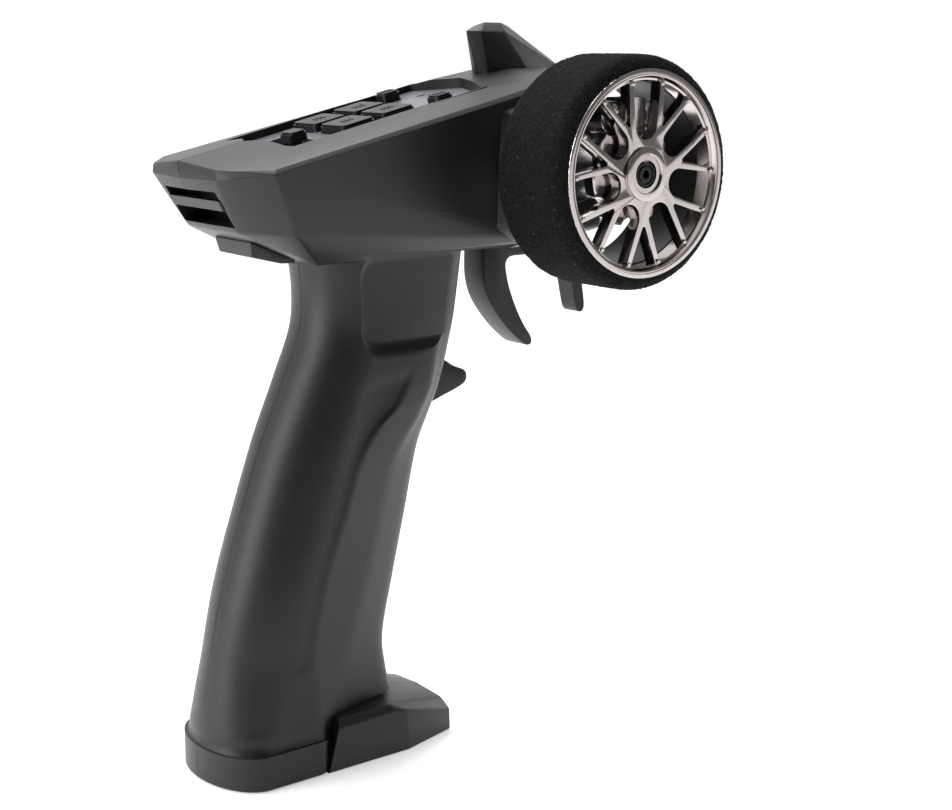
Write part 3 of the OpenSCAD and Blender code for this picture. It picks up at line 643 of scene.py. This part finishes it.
def on_panel(u, v, w):
    """From the panel's own frame (along, across, up) to the row frame."""
    along = Vector((math.cos(PANEL_TILT), 0, math.sin(PANEL_TILT)))
    up = Vector((-math.sin(PANEL_TILT), 0, math.cos(PANEL_TILT)))
    p = PANEL_AT + along * u + Vector((0, 1, 0)) * v + up * w
    return place(*p)


def panel_slab(name, outline, low, high):
    """An outline in the panel's own frame, given a height across it."""
    return prism(name, [on_panel(u, v, w) for w in (low, high) for u, v in outline])


def recess(inset):
    """Outline of the recess that holds the panel, drawn in by the inset."""
    rear, side = 0.4 + inset, 13.6 - inset
    notch, notch_side = -2.4 + inset, 5.6
    shoulder, tip = 51.8 - inset, 56.6 - inset
    return [(rear, side), (rear, notch_side), (notch, 0), (rear, -notch_side), (rear, -side),
            (shoulder, -side), (tip, 0), (shoulder, side)]


def rounded_outline(outline, radius, steps=4):
    """An outline with its corners rounded off."""
    points = [Vector(p) for p in outline]
    result = []
    for i, corner in enumerate(points):
        result += fillet(points[i - 1], corner, points[(i + 1) % len(points)], radius, steps)
    return [(p.x, p.y) for p in result]


def cover():
    """The head's sloped top with the recess for the panel and the hollow aerial fin."""
    lid = hull_solid("cover", PARTING + COVER_TOP, 0.45, angle=7, rim=PARTING)
    carve(lid, hull_solid("cover_inside", COVER_INSIDE))
    carve(lid, slab_solid("under", UNDER_COVER, -60, 60))
    fin = hull_solid("fin", FIN, 0.55, 4, angle=15)
    carve(lid, fin, "UNION")
    carve(lid, panel_slab("bezel", BEZEL, -4.4, 0.06), "UNION")
    carve(lid, panel_slab("recess", rounded_outline(recess(0), 0.8), -PANEL_DEPTH - 1.6, 60))
    carve(lid, panel_slab("through", recess(0.9), -6, 0))
    carve(lid, box_solid("aerial_slot", (80.4, -0.8, 140), (86, 0.8, 160)))
    carve(lid, box_solid("seam_rear", (-5, -0.09, 134), (19, 0.09, 160)))
    smooth_by_angle(lid, 30)
    hand_over(lid, SHELL, "top_cover", "housing")


# ---------- foot, trigger and grip button ----------

# One side of the foot, as corners.
FOOT = [(20, 15.6, 0), (47, 15.6, 0), (62, 11.6, 0), (20, 15.6, 8), (24, 15.6, 10), (42.9, 15.6, 10.6),
        (46.4, 15.4, 9.9), (62, 11.4, 5.2), (24, 14.3, 12.4), (42, 14.3, 12.4), (61, 9, 7.8), (60.6, 0, 8.6),
        (45, 0, 12.4)]


def foot():
    """The front of the base, which slides off to open the battery compartment."""
    block = hull_solid("foot", FOOT, 0.45, angle=8)
    carve(block, slab_solid("side", DOOR_SIDE, -60, 60), "INTERSECT")
    carve(block, box_solid("plate", (12.2, -12.6, 0), (30, 12.6, 2)), "UNION")
    hole = grip_solid("hole", [2, FLANGE_H, 12, 17], WALL + 0.5, 8, floor_z=2)
    carve(hole, box_solid("front_part", (20, -60, 0), (200, 60, 20)), "INTERSECT")
    carve(block, hole)
    carve(block, box_solid("pocket", (44.5, -9, WALL), (59, 9, 6)))
    smooth_by_angle(block, 30)
    hand_over(block, SHELL, "battery_door", "battery_cover")


# Side views of the trigger and of the neck that joins it to its hub.
TRIGGER = [(77.8, 117), (77.6, 106.4), (79, 101.6), (81.4, 97.9), (85.3, 93.4), (89.4, 89.9), (91.4, 88.7),
           (92.8, 89.1), (92.7, 90.9), (90.2, 94), (87.6, 98.6), (85.2, 104.4), (84, 110.9), (104.4, 110.9),
           (105.6, 106), (107, 99.6), (107.8, 96.2), (109, 95), (110.4, 95.6), (110.6, 97.4), (109.4, 104),
           (108, 112), (106.6, 116), (97, 118.4), (89, 118.4)]
TRIGGER_NECK = [(89, 117), (97, 117), (96.4, 122), (89.6, 122)]
PIVOT = (93, 123)


def lever():
    """The trigger: rear blade, bridge and front prong, on a hub with its pivot's bore."""
    blade = slab_solid("lever", rounded_outline(TRIGGER, 3), -4, 4, 0.5)
    carve(blade, slab_solid("neck", TRIGGER_NECK, -4, 4), "UNION")
    carve(blade, rod_solid("hub", *PIVOT, -5.5, 5.5, 4), "UNION")
    carve(blade, rod_solid("bore", *PIVOT, -20, 20, 1.55, steps=32))
    for side in (-1, 1):
        carve(blade, box_solid("flank", (102, side * 4.6 - 2, 94), (112, side * 4.6 + 2, 108)))
    smooth_by_angle(blade, 32)
    hand_over(blade, KEY, "trigger", "trigger_lever")


# Side view of the button.
HORN = [(57.4, 79), (57.4, 89), (64, 89.2), (66.8, 87.9), (68.8, 86.4), (72.2, 85.2), (72.9, 84), (72.5, 82),
        (69.4, 80.7), (65.6, 79.6), (62, 78.3)]


def horn():
    """The horn-shaped button on the front of the grip."""
    nub = slab_solid("horn", rounded_outline(HORN, 2), -4.2, 4.2, 0.7)
    smooth_by_angle(nub, 40)
    hand_over(nub, KEY, "grip_button", "side_button")


# ---------- wheel ----------

# The wheel's face is at WHEEL_Y; profiles are (radius, depth behind the face) pairs.
WHEEL_Y = -51.3
RIM_R = 22.25
RIM_INNER = RIM_R - 2.5
TYRE_R, TYRE_W = 25.2, 21.8
SPOKES = 7
STUD_TURN = math.radians(12.8)
LIP = [(RIM_INNER, 5), (RIM_R - 1, 5), (RIM_R - 1, 1.8), (RIM_R, 1.8), (RIM_R, 0.35), (RIM_R - 0.12, 0.1),
       (RIM_R - 0.4, 0), (RIM_R - 0.95, 0), (RIM_R - 1.05, 0.28), (RIM_R - 1.3, 0.28), (RIM_R - 1.4, 0),
       (RIM_R - 1.65, 0.06), (RIM_R - 1.8, 0.3), (RIM_R - 2.1, 1.0), (RIM_INNER, 1.2)]
HUB = [(3, 3.8), (5.75, 3.8), (5.75, 0.3), (5.65, 0.1), (5.45, 0), (4.3, 0), (4.1, 0.2), (4.1, 0.5), (3, 0.5)]
# Windows in the wheel's face: reach and radius of the inner end, reach and half width of the outer end.
WIDE_WINDOW = (10.3, 3.1, 24, 4.4)
NARROW_WINDOW = (11.7, 0.55, 22, 4.75)


def turned(name, profile, turns=192):
    """A ring about the wheel's axis."""
    points = []
    for k in range(turns):
        a = 2 * math.pi * k / turns
        c, s = math.cos(a), math.sin(a)
        points += [place(WHEEL_X + r * c, WHEEL_Y + depth, WHEEL_Z + r * s) for r, depth in profile]
    return ring_mesh(name, points, turns)


def window(reach, end_r, outer, width, turn):
    """Outline of a window in the wheel's face: a round inner end opening out towards the rim."""
    steps = 16 if end_r > 1 else 4
    arc = [math.pi / 2 + math.pi * i / steps for i in range(steps + 1)]
    outline = [(reach + end_r * math.cos(t), end_r * math.sin(t)) for t in arc]
    outline += [(outer, -width), (outer, width)]
    c, s = math.cos(turn), math.sin(turn)
    return [(WHEEL_X + u * c - v * s, WHEEL_Z + u * s + v * c) for u, v in outline]


def joined(name, parts):
    """One mesh from several closed ones."""
    bm = bmesh.new()
    for part in parts:
        bm.from_mesh(part.data)
        discard(part)
    mesh = bpy.data.meshes.new(name)
    bm.to_mesh(mesh)
    bm.free()
    return linked(name, mesh)


def rim():
    """The plated wheel: lip, spider with seven forked arms, hub and the studs where the arms end."""
    back, front = WHEEL_Y + 3.8, WHEEL_Y + 0.8
    spider = rod_solid("spider", WHEEL_X, WHEEL_Z, front, back, RIM_INNER + 0.3, steps=160)
    for i in range(SPOKES):
        mid = math.pi / 2 + 2 * math.pi * i / SPOKES
        for shape, turn in ((WIDE_WINDOW, mid), (NARROW_WINDOW, mid + math.pi / SPOKES)):
            carve(spider, slab_solid("window", window(*shape, turn), front - 1, back + 1))
    carve(spider, rod_solid("bore", WHEEL_X, WHEEL_Z, front - 1, back + 1, 3, steps=48))
    rounded(spider, 0.3, 3, 50)
    parts = [spider, turned("lip", LIP), turned("hub", HUB, 96)]
    stud_reach = RIM_INNER - 0.3
    for i in range(SPOKES):
        for side in (-1, 1):
            a = math.pi / 2 + 2 * math.pi * i / SPOKES + side * STUD_TURN
            x, z = WHEEL_X + stud_reach * math.cos(a), WHEEL_Z + stud_reach * math.sin(a)
            parts.append(rod_solid("stud", x, z, WHEEL_Y + 0.4, WHEEL_Y + 1.2, 0.5, 0.12, 20))
    plated = joined("rim", parts)
    smooth_by_angle(plated, 32)
    hand_over(plated, CHROME, "wheel_rim", "steering_wheel")


def tyre():
    """Cut foam with a rough skin: a turned ring whose outer surface is pushed in and out by noise."""
    inner = RIM_R - 1
    shoulder = TYRE_R - inner - 0.3
    middle = TYRE_R - shoulder
    start = math.acos((RIM_R + 0.08 - middle) / shoulder)
    row = [(RIM_R + 0.06, 1.75, 0.0)]
    for i in range(15):
        t = start * (1 - i / 14)
        row.append((middle + shoulder * math.cos(t), shoulder - shoulder * math.sin(t), 1.0))
    flat = TYRE_W - 2 * shoulder
    row += [(TYRE_R, shoulder + flat * i / 48, 1.0) for i in range(1, 48)]
    for i in range(19):
        t = math.pi / 2 * i / 18
        row.append((middle + shoulder * math.cos(t), TYRE_W - shoulder + shoulder * math.sin(t), 1.0))
    row += [(inner + 0.05, TYRE_W - 0.02, 0.0), (inner + 0.05, 1.8, 0.0)]
    turns = 560
    points = []
    for k in range(turns):
        a = 2 * math.pi * k / turns
        c, s = math.cos(a), math.sin(a)
        for r, depth, loose in row:
            at = Vector((r * c, depth, r * s))
            if loose:
                coarse = noise.fractal(at * 0.35, 1.0, 2.0, 3)
                fine = noise.fractal(at * 1.7, 0.8, 2.1, 3)
                across = depth - min(max(depth, shoulder), TYRE_W - shoulder)
                away = Vector(((r - middle) * c, across, (r - middle) * s))
                at += away.normalized() * (-0.16 + 0.06 * coarse + 0.17 * fine)
            points.append(place(WHEEL_X + at.x, WHEEL_Y + at.y, WHEEL_Z + at.z))
    ring = ring_mesh("tyre", points, turns)
    smooth_by_angle(ring, 60)
    hand_over(ring, FOAM, "foam_tyre", "steering_wheel")


# ---------- pieces ----------

shell_halves()
cover()
foot()
lever()
horn()
rim()
tyre()

# Edge radius of the CAD nodes that show as they are.
ROUNDING = {
    "wheel_adaptor": 0.25, "caliper_block": 0.3, "wheel_screw": 0.12, "wheel_drum": 0.1,
    "steering_trim_minus": 0.35, "steering_trim_plus": 0.35, "throttle_trim_minus": 0.35,
    "throttle_trim_plus": 0.35, "channel_button_left": 0.25, "channel_button_right": 0.25, "led_lens": 0.2,
    "power_knob": 0.3, "strap_bar": 0.3, "rear_block": 0.35, "control_panel": 0.1,
}
for name, width in ROUNDING.items():
    soften(NODES[name], width)


# ---------- floor, light and camera ----------

def floor():
    """A large pale floor that glows a little, so that it comes out white."""
    size = 15.0
    mesh = bpy.data.meshes.new("floor")
    corners = [(-size, -size, 0), (size, -size, 0), (size, size, 0), (-size, size, 0)]
    mesh.from_pydata([Vector(c) for c in corners], [], [(0, 1, 2, 3)])
    obj = linked("floor", mesh)
    n = Nodes("floor_white")
    pale = mixed(n, n.noise(0.01, 2.0), (0.86, 0.86, 0.88), (0.90, 0.90, 0.91))
    n.join(pale, n.shader.inputs["Base Color"])
    n.shader.inputs["Roughness"].default_value = 0.6
    n.shader.inputs["Emission Color"].default_value = (1, 1, 1, 1)
    n.shader.inputs["Emission Strength"].default_value = 0.43
    dress(obj, n.material)


def backdrop():
    """A white dome that only the camera sees, so that low views have a plain background too."""
    mesh = bpy.data.meshes.new("backdrop")
    bm = bmesh.new()
    bmesh.ops.create_uvsphere(bm, u_segments=48, v_segments=24, radius=9.0)
    bm.to_mesh(mesh)
    bm.free()
    obj = linked("backdrop", mesh)
    n = Nodes("backdrop_white")
    white = mixed(n, n.noise(0.01, 2.0), (0.98, 0.98, 0.98), (1, 1, 1))
    n.join(white, n.shader.inputs["Emission Color"])
    n.shader.inputs["Base Color"].default_value = (0, 0, 0, 1)
    n.shader.inputs["Emission Strength"].default_value = 1.0
    dress(obj, n.material)
    for ray in ("diffuse", "glossy", "transmission", "volume_scatter", "shadow"):
        setattr(obj, "visible_" + ray, False)


def area_light(name, at, target, size, watts):
    """A rectangular softbox that faces its target."""
    light = bpy.data.lights.new(name, "AREA")
    light.shape = "RECTANGLE"
    light.size, light.size_y = size
    light.energy = watts
    obj = linked(name, light)
    obj.location = at
    obj.rotation_euler = (Vector(target) - Vector(at)).to_track_quat("-Z", "Y").to_euler()


def world_light(dim, bright):
    """Soft surroundings: a bright wall behind the object and overhead, a dim room in front of it."""
    world = bpy.data.worlds.new("studio")
    bpy.context.scene.world = world
    world.use_nodes = True
    tree = world.node_tree
    where = tree.nodes.new("ShaderNodeTexCoord")
    facing = tree.nodes.new("ShaderNodeVectorMath")
    facing.operation = "DOT_PRODUCT"
    facing.inputs[1].default_value = (0.05, 0.93, 0.36)
    tree.links.new(where.outputs["Generated"], facing.inputs[0])
    level = tree.nodes.new("ShaderNodeMapRange")
    level.interpolation_type = "SMOOTHSTEP"
    level.inputs["From Min"].default_value = -0.25
    level.inputs["From Max"].default_value = 0.35
    level.inputs["To Min"].default_value = dim
    level.inputs["To Max"].default_value = bright
    tree.links.new(facing.outputs["Value"], level.inputs["Value"])
    tree.links.new(level.outputs["Result"], tree.nodes["Background"].inputs["Strength"])
    tree.nodes["Background"].inputs["Color"].default_value = (1, 1, 1, 1)


def camera():
    """The photograph's viewing angle: behind the transmitter, to its right and a little above."""
    yaw, pitch = math.radians(37.35), math.radians(12.28)
    look = Vector((math.sin(yaw) * math.cos(pitch), math.cos(yaw) * math.cos(pitch), -math.sin(pitch)))
    data = bpy.data.cameras.new("camera")
    data.sensor_width = 36
    data.lens = 64.29
    data.shift_x = 0.0273
    data.shift_y = 0.0053
    data.clip_start = 0.01
    obj = linked("camera", data)
    obj.location = (-0.2004, -0.3146, 0.1610)
    obj.rotation_euler = look.to_track_quat("-Z", "Y").to_euler()
    bpy.context.scene.camera = obj


floor()
backdrop()
world_light(0.05, 1.1)
bpy.context.scene.view_settings.view_transform = "Standard"  # keeps near-black plastic near black
area_light("left_softbox", (-0.78, 0.16, 0.32), (0, 0, 0.09), (0.35, 0.7), 4.6)
area_light("front_softbox", (0.62, -0.55, 0.30), (0, 0, 0.10), (0.9, 0.9), 0.42)
area_light("right_softbox", (0.85, 0.02, 0.30), (0, 0, 0.10), (0.4, 0.7), 2.0)
area_light("overhead", (0.0, 0.25, 0.75), (0, 0, 0.1), (0.6, 0.4), 5)
camera()
